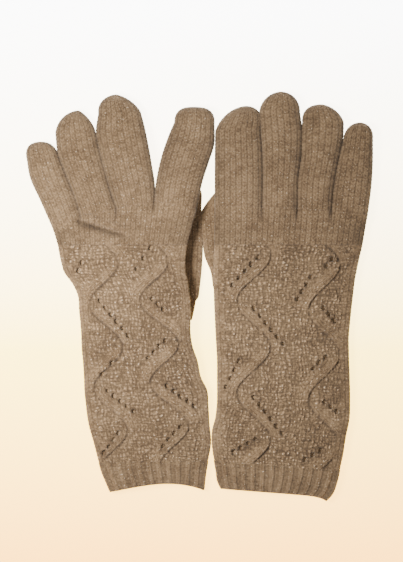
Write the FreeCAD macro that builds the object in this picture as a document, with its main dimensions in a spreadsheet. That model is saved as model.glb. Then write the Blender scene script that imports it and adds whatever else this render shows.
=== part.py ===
import FreeCAD, Part
import math
import os

import Sketcher
from FreeCAD import Placement, Rotation, Vector

# A pair of long knitted gloves lying flat, backs up, cuffs towards -Y and fingertips towards +Y.
# Each glove is one flattened tube of knitted fabric: a ribbed cuff, a lace gauntlet, a lace wrist and
# a plain palm, with four finger tubes, and a thumb tube tucked under the palm on a thumb gusset.
# Millimetres and degrees. The origin is under the middle of the pair, on the surface it lies on.

SHARED = {
    "wall": 1.5,  # knitted fabric, one layer
    "tube_thickness": 8.4,  # flattened sleeve and palm, both layers and the air between
    "finger_thickness": 6.0,
    "thumb_thickness": 3.6,
    "thumb_wall": 1.2,
    "gusset_thickness": 3.0,
    "clearance": 0.3,  # between pieces that move past each other
    "edge_round": 2.8,  # fillet along a finger's outline
    "thumb_edge_round": 1.6,
    "seam_radius": 0.8,
    "seam_inset": 3.2,  # side seam's centre inside the little-finger edge
    "web_radius": 1.2,
    "web_height": 4.5,
    "web_setback": 3.0,  # crotch webs behind the knuckle line
    "tip_rest": 0.1,  # fingertips above the surface
}

# Sections across each glove, hem to knuckles. For each: distance along the glove, centre, width,
# yaw of the section and its roll, which lifts the thumb edge over the tucked thumb.
STATIONS = {
    "left": {
        "hem": (-128.3, -28.1, 61.0, 2.7, 0.0),
        "rib": (-111.5, -30.5, 70.0, 1.5, 0.0),
        "flare": (-80.0, -34.0, 79.5, 0.0, 0.35),
        "narrow": (-44.0, -39.0, 75.0, 0.0, 1.4),
        "wrist": (-14.0, -42.0, 72.4, 0.0, 4.0),
        "thumb": (6.0, -45.0, 75.0, 0.0, 4.6),
        "lace": (34.0, -50.6, 84.4, 0.0, 4.6),
        "knuckle": (50.0, -51.0, 93.2, 0.0, 4.6),
        "front": (76.0, -50.4, 110.0, 0.0, 4.6),
    },
    "right": {
        "hem": (-129.6, 48.4, 69.4, -6.7, 0.0),
        "rib": (-112.5, 50.2, 82.0, -5.0, 0.0),
        "flare": (-82.0, 53.7, 89.4, 0.0, 0.25),
        "narrow": (-44.0, 54.6, 86.8, 0.0, 1.3),
        "wrist": (-14.0, 54.3, 88.8, 0.0, 3.6),
        "thumb": (6.0, 55.1, 91.8, 0.0, 4.4),
        "lace": (34.0, 58.2, 97.4, 0.0, 4.4),
        "knuckle": (50.0, 59.5, 99.6, 0.0, 4.4),
        "front": (76.0, 60.8, 102.6, 0.0, 4.4),
    },
}
STATION_SIZES = ("along", "centre", "width", "yaw", "roll")

# Knuckle line corners: the four fingers hinge on the four runs between them.
KNUCKLES = {
    "left": ((-99.6, 50.2), (-79.3, 57.5), (-55.6, 62.5), (-29.2, 67.5), (0.5, 62.5)),
    "right": ((9.9, 64.5), (41.0, 63.0), (64.4, 62.8), (86.9, 61.0), (110.8, 58.0)),
}
# Fingers from -X to +X, with length from the knuckle line and tip radius.
FINGERS = {
    "left": (("little", 50.0, 9.8), ("ring", 63.0, 11.4), ("middle", 68.0, 12.6), ("index", 60.0, 13.6)),
    "right": (("index", 61.0, 12.6), ("middle", 71.4, 11.0), ("ring", 64.4, 10.6), ("little", 55.0, 9.4)),
}
# Thumbs: pivot on the palm, lean, length from the pivot, base and tip radius.
THUMBS = {
    "left": (-11.4, 6.0, 0.0, 68.0, 12.0, 10.4),
    "right": (19.0, 10.0, 9.0, 62.0, 12.0, 9.5),
}
THUMB_SIZES = ("across", "along", "lean", "length", "base", "tip")
# Thumb gussets: the wrist-side end of the wedge, its width there, and where its sides meet the
# thumb's round base, as angles about the thumb's pivot.
GUSSETS = {
    "left": (-5.4, -13.5, 12.0, -42.0, -172.0),
    "right": (13.6, -13.0, 12.0, -42.0, -172.0),
}
GUSSET_SIZES = ("across", "along", "width", "outer", "inner")
THUMB_SIDE = {"left": 1, "right": -1}

FLAT = 1e-6  # an edge spanning less than this in Z is level
ON_BASE = 1e-3  # an edge no further than this from the base line lies on it


def driving_dimensions():
    """Every driving dimension by name, in the order the sheet keeps them."""
    sizes = dict(SHARED)
    for side in ("left", "right"):
        for station, values in STATIONS[side].items():
            sizes.update({f"{side}_{station}_{key}": v for key, v in zip(STATION_SIZES, values)})
        for corner, (across, along) in enumerate(KNUCKLES[side]):
            sizes[f"{side}_corner{corner}_across"] = across
            sizes[f"{side}_corner{corner}_along"] = along
        for finger, length, tip in FINGERS[side]:
            sizes[f"{side}_{finger}_length"] = length
            sizes[f"{side}_{finger}_tip"] = tip
        sizes.update({f"{side}_thumb_{key}": v for key, v in zip(THUMB_SIZES, THUMBS[side])})
        sizes.update({f"{side}_gusset_{key}": v for key, v in zip(GUSSET_SIZES, GUSSETS[side])})
    return sizes


doc = FreeCAD.newDocument("knitted_gloves")
sheet = doc.addObject("Spreadsheet::Sheet", "dims")
for row, (alias, number) in enumerate(driving_dimensions().items(), 1):
    sheet.set(f"A{row}", alias)
    sheet.set(f"B{row}", str(number))
    sheet.setAlias(f"B{row}", alias)
doc.recompute()


def size(alias):
    return float(sheet.get(alias))


def origin_plane(body, role):
    return next(f for f in body.Origin.OriginFeatures if f.Role == role)


def new_body(node):
    body = doc.addObject("PartDesign::Body", node)
    body.Label = node
    return body


def new_sketch(body, name, role):
    sketch = body.newObject("Sketcher::SketchObject", name)
    sketch.AttachmentSupport = [(origin_plane(body, role), "")]
    sketch.MapMode = "FlatFace"
    return sketch


def bind(sketch, name, constraint, expression):
    """Adds a dimension and ties it to the sheet."""
    index = sketch.addConstraint(constraint)
    sketch.renameConstraint(index, name)
    sketch.setExpression(f"Constraints.{name}", expression)


def stand_across(sketch, side, station, shift):
    """Stands a sketch across the glove at a station, rolled and turned as the glove lies there."""
    key = f"dims.{side}_{station}"
    roll = size(f"{side}_{station}_roll") * THUMB_SIDE[side]
    turn = Rotation(Vector(0, 1, 0), size(f"{side}_{station}_yaw"))
    sketch.AttachmentOffset = Placement(Vector(), turn.multiply(Rotation(Vector(0, 0, 1), roll)))
    sketch.setExpression("AttachmentOffset.Base.x", f"{key}_centre")
    sketch.setExpression(
        "AttachmentOffset.Base.y",
        f"dims.tube_thickness / 2 + ({key}_width - dims.tube_thickness) / 2 * sin({key}_roll)",
    )
    sketch.setExpression("AttachmentOffset.Base.z", f"-({key}_along + {shift})")


def tube_section(body, name, side, station, end_radius, shift):
    """Section of a flattened tube: two round ends joined by straight runs."""
    sketch = new_sketch(body, name, "XZ_Plane")
    reach = (size(f"{side}_{station}_width") - size("tube_thickness")) / 2
    radius = size("tube_thickness") / 2
    for end, start in ((reach, -math.pi / 2), (-reach, math.pi / 2)):
        circle = Part.Circle(Vector(end, 0, 0), Vector(0, 0, 1), radius)
        sketch.addGeometry(Part.ArcOfCircle(circle, start, start + math.pi), False)
        rise = math.copysign(radius, end)
        sketch.addGeometry(Part.LineSegment(Vector(end, rise, 0), Vector(-end, rise, 0)), False)
    for edge in range(4):
        sketch.addConstraint(Sketcher.Constraint("Tangent", edge, 2, (edge + 1) % 4, 1))
    sketch.addConstraint(Sketcher.Constraint("Symmetric", 0, 3, 2, 3, -1, 1))
    sketch.addConstraint(Sketcher.Constraint("PointOnObject", 0, 3, -1))
    sketch.addConstraint(Sketcher.Constraint("Horizontal", 1))
    bind(
        sketch,
        "reach",
        Sketcher.Constraint("DistanceX", 2, 3, 0, 3, 2 * reach),
        f"dims.{side}_{station}_width - dims.tube_thickness",
    )
    bind(sketch, "end_radius", Sketcher.Constraint("Radius", 0, radius), end_radius)
    stand_across(sketch, side, station, shift)
    return sketch


def seam_section(body, name, side, station, shift):
    """Section of the side seam, just inside the little-finger edge of the tube."""
    sketch = new_sketch(body, name, "XZ_Plane")
    away = -THUMB_SIDE[side]
    centre = away * (size(f"{side}_{station}_width") / 2 - size("seam_inset"))
    radius = size("seam_radius")
    sketch.addGeometry(Part.Circle(Vector(centre, 0, 0), Vector(0, 0, 1), radius), False)
    sketch.addConstraint(Sketcher.Constraint("PointOnObject", 0, 3, -1))
    bind(
        sketch,
        "inset",
        Sketcher.Constraint("DistanceX", -1, 1, 0, 3, centre),
        f"{away} * (dims.{side}_{station}_width / 2 - dims.seam_inset)",
    )
    bind(sketch, "seam", Sketcher.Constraint("Radius", 0, radius), "dims.seam_radius")
    stand_across(sketch, side, station, shift)
    return sketch


def loft(body, kind, name, sections):
    doc.recompute()
    feature = body.newObject(kind, name)
    feature.Profile = sections[0]
    feature.Sections = sections[1:]
    feature.Ruled = len(sections) == 2
    doc.recompute()
    return feature


def end_shifts(stations, start, end):
    """Shift along the glove for each section: only the first and last pull back from a neighbour."""
    return [start] + ["0"] * (len(stations) - 2) + [end]


def sleeve(node, side, stations, start="0", end="0"):
    """An open flattened tube through the stations, with one fabric wall all round."""
    body = new_body(node)
    shifts = end_shifts(stations, start, end)
    for kind, name, radius in (
        ("PartDesign::AdditiveLoft", "outer", "dims.tube_thickness / 2"),
        ("PartDesign::SubtractiveLoft", "inner", "dims.tube_thickness / 2 - dims.wall"),
    ):
        sections = [
            tube_section(body, f"{node}_{name}_{station}", side, station, radius, shift)
            for station, shift in zip(stations, shifts)
        ]
        loft(body, kind, f"{node}_{name}", sections)
    return body


def side_seam(node, side, stations, start, end):
    body = new_body(node)
    sections = [
        seam_section(body, f"{node}_{station}", side, station, shift)
        for station, shift in zip(stations, end_shifts(stations, start, end))
    ]
    loft(body, "PartDesign::AdditiveLoft", f"{node}_cord", sections)
    return body


def check_cut(body, pocket):
    """Stops if a cut took nothing away."""
    doc.recompute()
    before = pocket.BaseFeature.Shape.Volume
    if not pocket.Shape.Volume < before:
        raise RuntimeError(f"{pocket.Name} of {body.Label} cuts nothing")


def cut_knuckle_line(body, side):
    """Cuts the palm tube off along the knuckle line, one straight run for each finger."""
    corners = [Vector(x, y, 0) for x, y in KNUCKLES[side]]
    overrun = 30.0
    first = (corners[0] - corners[1]).normalize() * overrun
    last = (corners[-1] - corners[-2]).normalize() * overrun
    line = [corners[0] + first] + corners[1:-1] + [corners[-1] + last]
    beyond = Vector(0, 2 * overrun, 0)
    outline = line + [line[-1] + beyond, line[0] + beyond]
    back = Vector(0, -size("clearance") / 2, 0)
    sketch = new_sketch(body, f"{side}_knuckle_line", "XY_Plane")
    points = [point + back for point in outline]
    for start, end in zip(points, points[1:] + points[:1]):
        sketch.addGeometry(Part.LineSegment(start, end), False)
    for edge in range(len(points)):
        after = (edge + 1) % len(points)
        sketch.addConstraint(Sketcher.Constraint("Coincident", edge, 2, after, 1))
        if 1 <= edge <= 3:
            corner = f"dims.{side}_corner{edge}"
            x, y = points[edge].x, points[edge].y
            across = Sketcher.Constraint("DistanceX", -1, 1, edge, 1, x)
            along = Sketcher.Constraint("DistanceY", -1, 1, edge, 1, y)
            bind(sketch, f"across{edge}", across, f"{corner}_across")
            bind(sketch, f"along{edge}", along, f"{corner}_along - dims.clearance / 2")
    doc.recompute()
    pocket = body.newObject("PartDesign::Pocket", f"{side}_finger_mouths")
    pocket.Profile = sketch
    pocket.Type = 1
    pocket.Midplane = True
    check_cut(body, pocket)


def tapered_outline(sketch, half_base, tip, length, inset):
    """A finger outline on its own axes: straight base on X, sides tangent to a round tip on Y."""
    centre = Vector(0, length - tip, 0)
    lean = math.asin((half_base - tip) / math.hypot(length - tip, half_base))
    touch = Vector(tip * math.cos(lean), centre.y + tip * math.sin(lean), 0)
    mirror = Vector(-touch.x, touch.y, 0)
    left, right = Vector(-half_base, -inset, 0), Vector(half_base, -inset, 0)
    circle = Part.Circle(centre, Vector(0, 0, 1), tip)
    sketch.addGeometry(Part.LineSegment(left, right), False)
    sketch.addGeometry(Part.LineSegment(right, touch), False)
    sketch.addGeometry(Part.ArcOfCircle(circle, lean, math.pi - lean), False)
    sketch.addGeometry(Part.LineSegment(mirror, left), False)
    sketch.addConstraint(Sketcher.Constraint("Coincident", 0, 2, 1, 1))
    sketch.addConstraint(Sketcher.Constraint("Tangent", 1, 2, 2, 1))
    sketch.addConstraint(Sketcher.Constraint("Tangent", 2, 2, 3, 1))
    sketch.addConstraint(Sketcher.Constraint("Coincident", 3, 2, 0, 1))
    sketch.addConstraint(Sketcher.Constraint("Symmetric", 0, 1, 0, 2, -2))
    sketch.addConstraint(Sketcher.Constraint("PointOnObject", 2, 3, -2))


def round_outline(body, pad, name, radius, from_base):
    """Rounds a slab's top and bottom outline edges, all but those of its open base."""
    edges = []
    for number, edge in enumerate(pad.Shape.Edges, 1):
        box = edge.BoundBox
        if box.ZLength < FLAT and (not from_base or box.YMax > ON_BASE):
            edges.append(f"Edge{number}")
    fillet = body.newObject("PartDesign::Fillet", name)
    fillet.Base = (pad, edges)
    fillet.setExpression("Radius", f"dims.{radius}")
    doc.recompute()


def finger(side, digit, name):
    """A finger tube closed at its tip and open on the knuckle line, pitched down to the surface."""
    node = f"{side}_{name}_finger"
    start, end = (Vector(*KNUCKLES[side][digit + k], 0) for k in (0, 1))
    run = end - start
    length, tip = size(f"{side}_{name}_length"), size(f"{side}_{name}_tip")
    thick, wall, gap = size("finger_thickness"), size("wall"), size("clearance")
    half_base = run.Length / 2 - gap
    a, b = f"dims.{side}_corner{digit}", f"dims.{side}_corner{digit + 1}"
    run_length = f"sqrt(({b}_across - {a}_across)^2 + ({b}_along - {a}_along)^2)"
    key = f"dims.{side}_{name}"
    body = new_body(node)

    outline = new_sketch(body, f"{node}_outline", "XY_Plane")
    tapered_outline(outline, half_base, tip, length, 0.0)
    outline.addConstraint(Sketcher.Constraint("PointOnObject", 0, 1, -1))
    base = Sketcher.Constraint("DistanceX", 0, 1, 0, 2, 2 * half_base)
    bind(outline, "base", base, f"{run_length} - 2 * dims.clearance")
    bind(outline, "tip", Sketcher.Constraint("Radius", 2, tip), f"{key}_tip")
    reach = Sketcher.Constraint("DistanceY", -1, 1, 2, 3, length - tip)
    bind(outline, "reach", reach, f"{key}_length - {key}_tip")
    doc.recompute()
    pad = body.newObject("PartDesign::Pad", f"{node}_slab")
    pad.Profile = outline
    pad.setExpression("Length", "dims.finger_thickness")
    doc.recompute()
    round_outline(body, pad, f"{node}_edges", "edge_round", True)

    cavity = new_sketch(body, f"{node}_cavity", "XY_Plane")
    cavity.setExpression("AttachmentOffset.Base.z", "dims.finger_thickness - dims.wall")
    inset = 1.0
    tapered_outline(cavity, half_base - wall, tip - wall, length - wall, inset)
    mouth = Sketcher.Constraint("DistanceX", 0, 1, 0, 2, 2 * (half_base - wall))
    bind(cavity, "mouth", mouth, f"{run_length} - 2 * dims.clearance - 2 * dims.wall")
    overrun = Sketcher.Constraint("DistanceY", 0, 1, -1, 1, inset)
    cavity.addConstraint(overrun)
    bind(cavity, "tip", Sketcher.Constraint("Radius", 2, tip - wall), f"{key}_tip - dims.wall")
    reach = Sketcher.Constraint("DistanceY", -1, 1, 2, 3, length - tip)
    bind(cavity, "reach", reach, f"{key}_length - {key}_tip")
    doc.recompute()
    pocket = body.newObject("PartDesign::Pocket", f"{node}_hollow")
    pocket.Profile = cavity
    pocket.setExpression("Length", "dims.finger_thickness - 2 * dims.wall")
    check_cut(body, pocket)

    bottom = palm_height(side, (start + end) / 2) - thick / 2
    pitch = math.degrees(math.asin((bottom - size("tip_rest")) / length))
    lean = math.degrees(math.atan2(run.y, run.x))
    middle = (start + end) / 2
    forward = Rotation(Vector(0, 0, 1), lean).multVec(Vector(0, gap / 2, 0))
    turn = Rotation(Vector(0, 0, 1), lean).multiply(Rotation(Vector(1, 0, 0), -pitch))
    body.Placement = Placement(Vector(middle.x, middle.y, bottom) + forward, turn)
    return body


def palm_height(side, point):
    """Height of the palm's middle layer at the knuckles: it rises from the little-finger edge."""
    edge = KNUCKLES[side][0][0] if side == "left" else KNUCKLES[side][-1][0]
    half = size("tube_thickness") / 2
    climb = math.sin(math.radians(size(f"{side}_knuckle_roll")))
    return half + (abs(point.x - edge) - half) * climb


def thumb(side):
    """The thumb tube, lying flat under the palm and swinging about the middle of its round base."""
    node = f"{side}_thumb"
    key = f"dims.{side}_thumb"
    length, base, tip = (size(f"{side}_thumb_{k}") for k in ("length", "base", "tip"))
    wall = size("thumb_wall")
    body = new_body(node)

    outline = new_sketch(body, f"{node}_outline", "XY_Plane")
    two_circle_outline(outline, base, tip, length)
    bind(outline, "base", Sketcher.Constraint("Radius", 0, base), f"{key}_base")
    bind(outline, "tip", Sketcher.Constraint("Radius", 2, tip), f"{key}_tip")
    reach = Sketcher.Constraint("DistanceY", -1, 1, 2, 3, length - tip)
    bind(outline, "reach", reach, f"{key}_length - {key}_tip")
    doc.recompute()
    pad = body.newObject("PartDesign::Pad", f"{node}_slab")
    pad.Profile = outline
    pad.setExpression("Length", "dims.thumb_thickness")
    doc.recompute()
    round_outline(body, pad, f"{node}_edges", "thumb_edge_round", False)

    cavity = new_sketch(body, f"{node}_cavity", "XY_Plane")
    cavity.setExpression("AttachmentOffset.Base.z", "dims.thumb_thickness - dims.thumb_wall")
    two_circle_outline(cavity, base - wall, tip - wall, length - wall)
    bind(cavity, "base", Sketcher.Constraint("Radius", 0, base - wall), f"{key}_base - dims.thumb_wall")
    bind(cavity, "tip", Sketcher.Constraint("Radius", 2, tip - wall), f"{key}_tip - dims.thumb_wall")
    reach = Sketcher.Constraint("DistanceY", -1, 1, 2, 3, length - tip)
    bind(cavity, "reach", reach, f"{key}_length - {key}_tip")
    doc.recompute()
    pocket = body.newObject("PartDesign::Pocket", f"{node}_hollow")
    pocket.Profile = cavity
    pocket.setExpression("Length", "dims.thumb_thickness - 2 * dims.thumb_wall")
    check_cut(body, pocket)

    pivot = Vector(size(f"{side}_thumb_across"), size(f"{side}_thumb_along"), 0)
    body.Placement = Placement(pivot, Rotation(Vector(0, 0, 1), size(f"{side}_thumb_lean")))
    return body


def two_circle_outline(sketch, base, tip, length):
    """Outline round two circles on Y, the larger at the origin."""
    centre = Vector(0, length - tip, 0)
    lean = math.asin((base - tip) / centre.y)
    along = Vector(math.cos(lean), math.sin(lean), 0)
    back = Vector(-along.x, along.y, 0)
    up = Vector(0, 0, 1)
    low = Part.ArcOfCircle(Part.Circle(Vector(), up, base), math.pi - lean, 2 * math.pi + lean)
    high = Part.ArcOfCircle(Part.Circle(centre, up, tip), lean, math.pi - lean)
    sketch.addGeometry(low, False)
    sketch.addGeometry(Part.LineSegment(along * base, centre + along * tip), False)
    sketch.addGeometry(high, False)
    sketch.addGeometry(Part.LineSegment(centre + back * tip, back * base), False)
    for edge in range(4):
        sketch.addConstraint(Sketcher.Constraint("Tangent", edge, 2, (edge + 1) % 4, 1))
    sketch.addConstraint(Sketcher.Constraint("Coincident", 0, 3, -1, 1))
    sketch.addConstraint(Sketcher.Constraint("PointOnObject", 2, 3, -2))


def thumb_gusset(side):
    """The wedge that joins the thumb to the wrist: it widens from a narrow end to the thumb's base."""
    node = f"{side}_thumb_gusset"
    body = new_body(node)
    out = THUMB_SIDE[side]
    pivot = Vector(size(f"{side}_thumb_across"), size(f"{side}_thumb_along"), 0)
    radius = size(f"{side}_thumb_base") + size("clearance")
    across, along, width, outer, inner = (size(f"{side}_gusset_{k}") for k in GUSSET_SIZES)
    angles = [math.radians(a) if out > 0 else math.pi - math.radians(a) for a in (outer, inner)]
    ends = [pivot + Vector(math.cos(a), math.sin(a), 0) * radius for a in angles]
    narrow = [Vector(across, along, 0), Vector(across - out * width, along, 0)]
    sketch = new_sketch(body, f"{node}_outline", "XY_Plane")
    circle = Part.Circle(pivot, Vector(0, 0, 1), radius)
    low, high = sorted(a % (2 * math.pi) for a in angles)
    sketch.addGeometry(Part.ArcOfCircle(circle, low, high), False)
    first, last = (ends[1], ends[0]) if out > 0 else (ends[0], ends[1])
    near, far = (narrow[1], narrow[0]) if out > 0 else (narrow[0], narrow[1])
    sketch.addGeometry(Part.LineSegment(first, near), False)
    sketch.addGeometry(Part.LineSegment(near, far), False)
    sketch.addGeometry(Part.LineSegment(far, last), False)
    sketch.addConstraint(Sketcher.Constraint("Coincident", 0, 1, 1, 1))
    sketch.addConstraint(Sketcher.Constraint("Coincident", 1, 2, 2, 1))
    sketch.addConstraint(Sketcher.Constraint("Coincident", 2, 2, 3, 1))
    sketch.addConstraint(Sketcher.Constraint("Coincident", 3, 2, 0, 2))
    sketch.addConstraint(Sketcher.Constraint("Horizontal", 2))
    key, gusset = f"dims.{side}_thumb", f"dims.{side}_gusset"
    seat = f"{key}_base + dims.clearance"
    bind(sketch, "pivot_x", Sketcher.Constraint("DistanceX", -1, 1, 0, 3, pivot.x), f"{key}_across")
    bind(sketch, "pivot_y", Sketcher.Constraint("DistanceY", -1, 1, 0, 3, pivot.y), f"{key}_along")
    bind(sketch, "seat", Sketcher.Constraint("Radius", 0, radius), seat)
    for name, end in (("outer", ends[0]), ("inner", ends[1])):
        corner = 1 if end is first else 2
        meeting = Sketcher.Constraint("DistanceY", -1, 1, 0, corner, end.y)
        bind(sketch, name, meeting, f"{key}_along + sin({gusset}_{name}) * ({seat})")
    corner = 2 if far is narrow[0] else 1
    tip = Sketcher.Constraint("DistanceX", -1, 1, 2, corner, across)
    bind(sketch, "narrow_across", tip, f"{gusset}_across")
    tip = Sketcher.Constraint("DistanceY", -1, 1, 2, corner, along)
    bind(sketch, "narrow_along", tip, f"{gusset}_along")
    width_across = Sketcher.Constraint("DistanceX", 2, 1, 2, 2, width)
    bind(sketch, "narrow_width", width_across, f"{gusset}_width")
    doc.recompute()
    pad = body.newObject("PartDesign::Pad", f"{node}_wedge")
    pad.Profile = sketch
    pad.setExpression("Length", "dims.gusset_thickness")
    return body


def finger_webs(side):
    """The three small bridges of fabric that close the crotches between the fingers."""
    node = f"{side}_finger_webs"
    roll = Rotation(Vector(0, 1, 0), -THUMB_SIDE[side] * size(f"{side}_knuckle_roll"))
    webs = []
    for corner in (1, 2, 3):
        point = Vector(*KNUCKLES[side][corner], 0) - Vector(0, size("web_setback"), 0)
        web = doc.addObject("Part::Cylinder", f"{node}_{corner}")
        web.setExpression("Radius", "dims.web_radius")
        web.setExpression("Height", "dims.web_height")
        up = roll.multVec(Vector(0, 0, -size("web_height") / 2))
        web.Placement = Placement(Vector(point.x, point.y, palm_height(side, point)) + up, roll)
        webs.append(web)
    group = doc.addObject("Part::Compound", node)
    group.Label = node
    group.Links = webs
    return group


def glove(side):
    """Every separate piece of one glove."""
    half_gap = "dims.clearance / 2"
    palm = sleeve(f"{side}_palm", side, ("lace", "knuckle", "front"))
    cut_knuckle_line(palm, side)
    pieces = [
        sleeve(f"{side}_rib_cuff", side, ("hem", "rib")),
        sleeve(f"{side}_lace_gauntlet", side, ("rib", "flare", "narrow", "wrist"), end=f"-{half_gap}"),
        sleeve(f"{side}_lace_wrist", side, ("wrist", "thumb", "lace"), start=half_gap),
        palm,
        side_seam(f"{side}_gauntlet_seam", side, ("hem", "rib", "flare", "narrow", "wrist"), "1", "-1"),
        side_seam(f"{side}_palm_seam", side, ("wrist", "thumb", "lace", "knuckle"), "1", "0"),
        thumb_gusset(side),
        thumb(side),
        finger_webs(side),
    ]
    pieces += [finger(side, digit, name) for digit, (name, _, _) in enumerate(FINGERS[side])]
    return pieces


def check(pieces):
    """Stops if any feature failed or any piece is not a sound closed solid."""
    doc.recompute()
    for feature in doc.Objects:
        if {"Invalid", "Error"} & set(feature.State):
            raise RuntimeError(f"{feature.Name} failed: {feature.State}")
    for piece in pieces:
        shape = piece.Shape
        if shape.isNull() or not shape.isValid() or not shape.Solids:
            raise RuntimeError(f"{piece.Label} has no valid shape")
        print(f"{piece.Label}: {len(shape.Solids)} solid, {shape.Volume / 1000:.2f} cm3")


pieces = glove("left") + glove("right")
check(pieces)
os.makedirs("parts", exist_ok=True)
for piece in pieces:
    piece.Shape.exportStep(f"parts/{piece.Label}.step")
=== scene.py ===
import math

import bpy
import numpy as np
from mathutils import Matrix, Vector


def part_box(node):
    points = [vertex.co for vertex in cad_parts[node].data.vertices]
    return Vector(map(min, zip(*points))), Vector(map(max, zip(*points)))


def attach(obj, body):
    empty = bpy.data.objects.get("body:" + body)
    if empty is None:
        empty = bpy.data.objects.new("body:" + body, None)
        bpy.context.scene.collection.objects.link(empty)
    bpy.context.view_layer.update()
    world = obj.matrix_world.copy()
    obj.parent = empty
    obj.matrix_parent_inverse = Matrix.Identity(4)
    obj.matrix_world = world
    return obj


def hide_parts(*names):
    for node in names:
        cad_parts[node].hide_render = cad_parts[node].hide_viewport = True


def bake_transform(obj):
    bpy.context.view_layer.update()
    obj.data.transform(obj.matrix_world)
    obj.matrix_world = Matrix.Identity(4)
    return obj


# A pair of long fine-knit gloves lying flat: rib cuff, lace gauntlet, plain hand, fingers and thumb.
# Lengths are millimetres on the frame's axes and meshes are made in metres, up to the last section,
# where the table, lights and camera are placed in metres.

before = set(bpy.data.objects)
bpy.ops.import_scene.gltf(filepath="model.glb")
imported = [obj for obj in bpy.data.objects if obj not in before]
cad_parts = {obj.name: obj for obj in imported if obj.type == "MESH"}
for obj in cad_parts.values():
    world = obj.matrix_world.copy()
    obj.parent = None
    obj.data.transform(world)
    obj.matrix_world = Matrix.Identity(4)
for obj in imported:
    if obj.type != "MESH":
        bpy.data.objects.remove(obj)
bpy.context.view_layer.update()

MM = 0.001
SEED = 41
WALE = 3.6  # width of one stitch
COURSE = 2.55  # height of one stitch
TONES = (128, 512)  # size of the table of random tones
FINE = 9  # mesh columns across one stitch
RIB_FINE = 18  # mesh columns across one rib of the cuff
COARSE = 3  # the inner face of the fabric has every third point of the outer
ROW = 0.4  # mesh rows are this far apart, where their number isn't fixed below
UNDER_ROW = 0.5  # and on the lace's under face
CUFF_ROWS = 60
PALM_ROWS = 64
GUSSET_ROWS = 44
SMOOTH_POWER = 2.7  # superellipse power of every flattened tube
RIPPLE = 0.32  # size of the slow unevenness of the fabric
SLEEVE_THICK = 5.4
RISE = 3.4  # height of a sleeve's middle where it lies flat, its under stitches on the table
FINGER_THICK = 6.0
WALL = 1.1  # fabric thickness without the relief
LACE_WALL = 0.7
INSIDE = 0.8  # painted shade value given to the fabric's inner face
RELIEF = 0.62  # height of a stocking stitch
LACE_TOP = 34.0  # row where the plain hand starts
LACE_SPLIT = -28.0  # row where the gauntlet's lace meets the wrist's
KNUCKLE_ROW = 60.0  # row whose lift the fingers and webs take
CUFF_OVERLAP = 0.6  # how far the cuff runs on past the lace's first row

# Sleeve stations: row, left and right edge, tilt of the row, upward bow of its middle.
SLEEVE = {
    "left": (
        (-128.0, -58.9, 2.4, 0.02, 4.6),
        (-122.0, -61.4, 3.0, 0.02, 3.6),
        (-115.0, -64.4, 3.9, 0.015, 2.0),
        (-107.0, -66.7, 5.3, 0.01, 0.8),
        (-97.0, -69.5, 7.0, 0.0, 0.0),
        (-83.0, -73.3, 6.0, 0.0, 0.0),
        (-72.0, -74.8, 5.4, 0.0, 0.0),
        (-61.0, -75.9, 4.3, 0.0, 0.0),
        (-54.0, -76.1, 0.8, 0.0, 0.0),
        (-42.0, -76.9, -1.9, 0.0, 0.0),
        (-33.0, -77.7, -5.0, 0.0, 0.0),
        (-24.0, -78.0, -6.4, 0.0, 0.0),
        (-8.0, -79.4, -6.2, 0.0, 0.0),
        (1.0, -80.2, -7.0, 0.0, 0.0),
        (8.0, -83.4, -7.9, 0.0, 0.0),
        (16.0, -89.1, -9.5, 0.0, 0.0),
        (24.0, -91.5, -9.8, 0.0, 0.0),
        (34.0, -93.4, -8.6, 0.0, 0.0),
    ),
    "right": (
        (-129.1, 14.1, 82.8, -0.078, 0.0),
        (-125.0, 12.0, 86.6, -0.08, 0.0),
        (-118.0, 10.8, 89.8, -0.082, 0.0),
        (-110.0, 9.4, 92.0, -0.075, 0.0),
        (-100.0, 8.0, 94.2, -0.06, 0.0),
        (-90.0, 8.1, 95.9, -0.035, 0.0),
        (-80.0, 10.3, 98.2, -0.015, 0.0),
        (-70.0, 11.3, 98.6, 0.0, 0.0),
        (-55.0, 11.4, 98.4, 0.0, 0.0),
        (-40.0, 11.3, 97.9, 0.0, 0.0),
        (-28.0, 10.6, 97.7, 0.0, 0.0),
        (-14.0, 9.9, 98.9, 0.0, 0.0),
        (0.0, 9.3, 100.5, 0.0, 0.0),
        (12.0, 9.1, 102.0, 0.0, 0.0),
        (24.0, 9.3, 104.5, 0.0, 0.0),
        (34.0, 9.6, 106.8, 0.0, 0.0),
    ),
}
RIB_TOP = {"left": -109.5, "right": -111.5}
ROLL = {  # row, and the roll in degrees that lifts the thumb edge over the tucked thumb
    "left": ((-128, 0), (-110, 0), (-80, 0.35), (-44, 1.4), (-14, 4), (6, 4.6), (70, 4.6)),
    "right": ((-130, 0), (-112, 0), (-82, 0.25), (-44, 1.3), (-14, 3.6), (6, 4.4), (70, 4.4)),
}
WALES = {"left": 44, "right": 50}  # stitches round the sleeve
PALM_WALES = {"left": 54, "right": 56}
RIBS = {"left": 22, "right": 26}
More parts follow.
